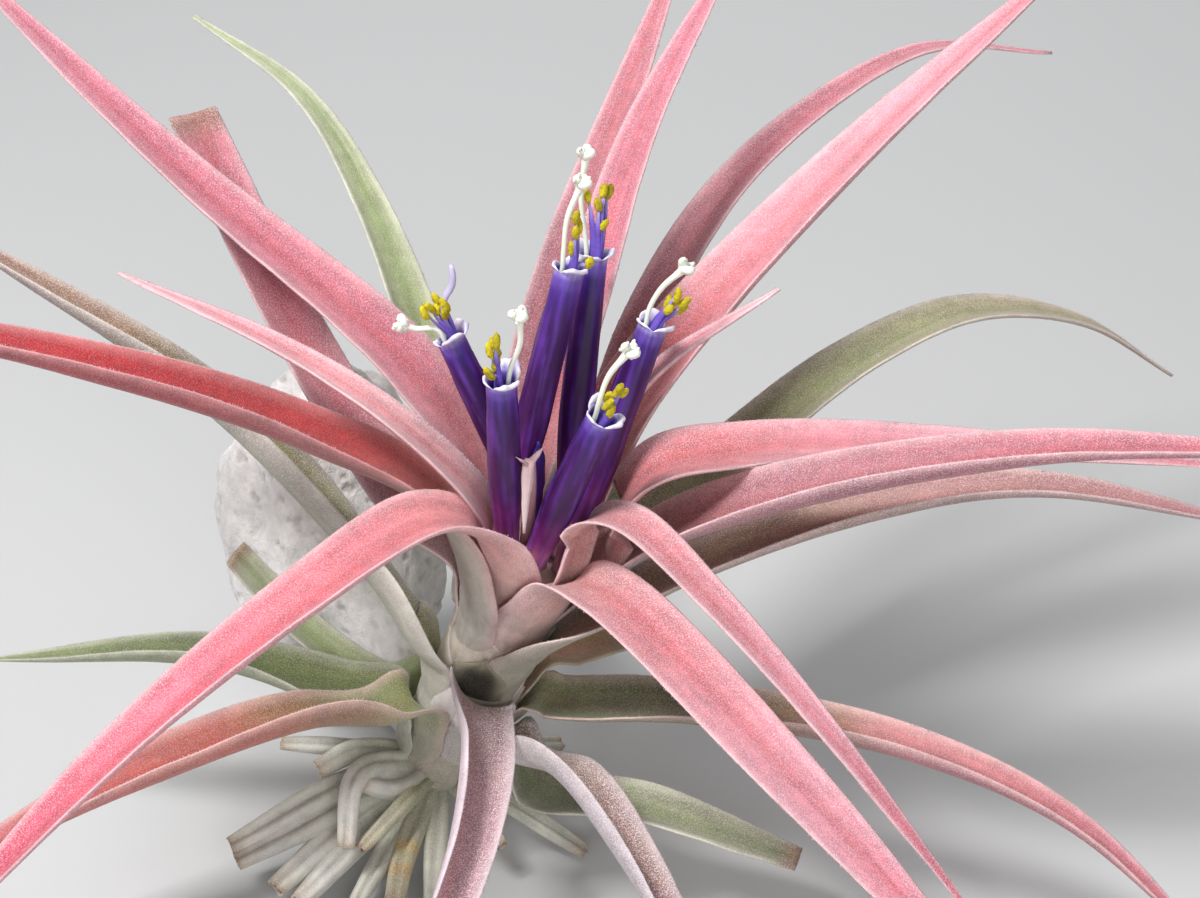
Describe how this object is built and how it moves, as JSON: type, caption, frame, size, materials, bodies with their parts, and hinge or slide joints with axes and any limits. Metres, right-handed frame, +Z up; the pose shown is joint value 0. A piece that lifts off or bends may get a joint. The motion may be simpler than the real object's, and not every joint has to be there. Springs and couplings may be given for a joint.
{
  "type": "air plant on stone",
  "caption": "Rosette of long channelled pink and green leaves with upright violet tube flowers, leaning on a pale stone that stands on its flat foot",
  "frame": {"origin": "middle of the stone's flat foot, on the surface it stands on", "axes": "+Z up, +Y away from the viewer of the picture, +X to the viewer's right, along the longest spread of the leaves"},
  "size_m": [0.2373, 0.1571, 0.1494],
  "materials": {
    "stem_grey": "dry grey leaf bases",
    "leaf_pink": "soft leaf with a scurfy bloom of fine white scales",
    "leaf_red": "soft leaf with a scurfy bloom of fine white scales",
    "leaf_peach": "soft leaf with a scurfy bloom of fine white scales",
    "leaf_mauve": "soft leaf with a scurfy bloom of fine white scales",
    "leaf_olive": "soft leaf with a scurfy bloom of fine white scales",
    "leaf_green": "soft leaf with a scurfy bloom of fine white scales",
    "leaf_pale_green": "soft leaf with a scurfy bloom of fine white scales",
    "flower_violet": "satin petal",
    "anther_yellow": "dusty pollen",
    "style_white": "moist and pale",
    "bract_papery": "dry and papery",
    "stone_pale": "porous and chalky"
  },
  "bodies": {
    "root": {"stem": "stem_grey", "leaf_right_small": "leaf_pink", "leaf_left_small": "leaf_pink", "leaf_front_right_narrow": "leaf_pink", "leaf_back_inner": "leaf_pink", "leaf_front_left": "leaf_pink", "leaf_right": "leaf_pink", "leaf_back": "leaf_mauve", "leaf_right_high": "leaf_pink", "leaf_left_high": "leaf_pink", "leaf_front_right": "leaf_peach", "leaf_back_right": "leaf_mauve", "leaf_left_red": "leaf_red", "leaf_right_dark": "leaf_pink", "leaf_back_left_cut": "leaf_pink", "leaf_right_arched": "leaf_olive", "leaf_back_pale": "leaf_pale_green", "leaf_right_low": "leaf_olive", "leaf_left_old": "leaf_olive", "leaf_back_low_right": "leaf_olive", "leaf_back_low": "leaf_green", "leaf_right_lower": "leaf_pink", "leaf_left_cut": "leaf_pale_green", "leaf_right_stub": "leaf_green", "leaf_left_level": "leaf_green", "leaf_front_drooping": "leaf_mauve", "leaf_left_lower": "leaf_peach", "leaf_front_right_lower": "leaf_mauve", "leaf_right_cut": "leaf_green", "corolla_front_left": "flower_violet", "corolla_left": "flower_violet", "corolla_centre_left": "flower_violet", "corolla_centre_right": "flower_violet", "corolla_right_back": "flower_violet", "corolla_right_front": "flower_violet", "stamens_front_left": "anther_yellow", "stamens_left": "anther_yellow", "stamens_centre_left": "anther_yellow", "stamens_centre_right": "anther_yellow", "stamens_right_back": "anther_yellow", "stamens_right_front": "anther_yellow", "style_front_left": "style_white", "style_left": "style_white", "style_centre_left": "style_white", "style_centre_right": "style_white", "style_right_back": "style_white", "style_right_front": "style_white", "bud": "flower_violet", "bract_front": "bract_papery", "bract_inner": "bract_papery", "stone": "stone_pale"}
  },
  "joints": []
}
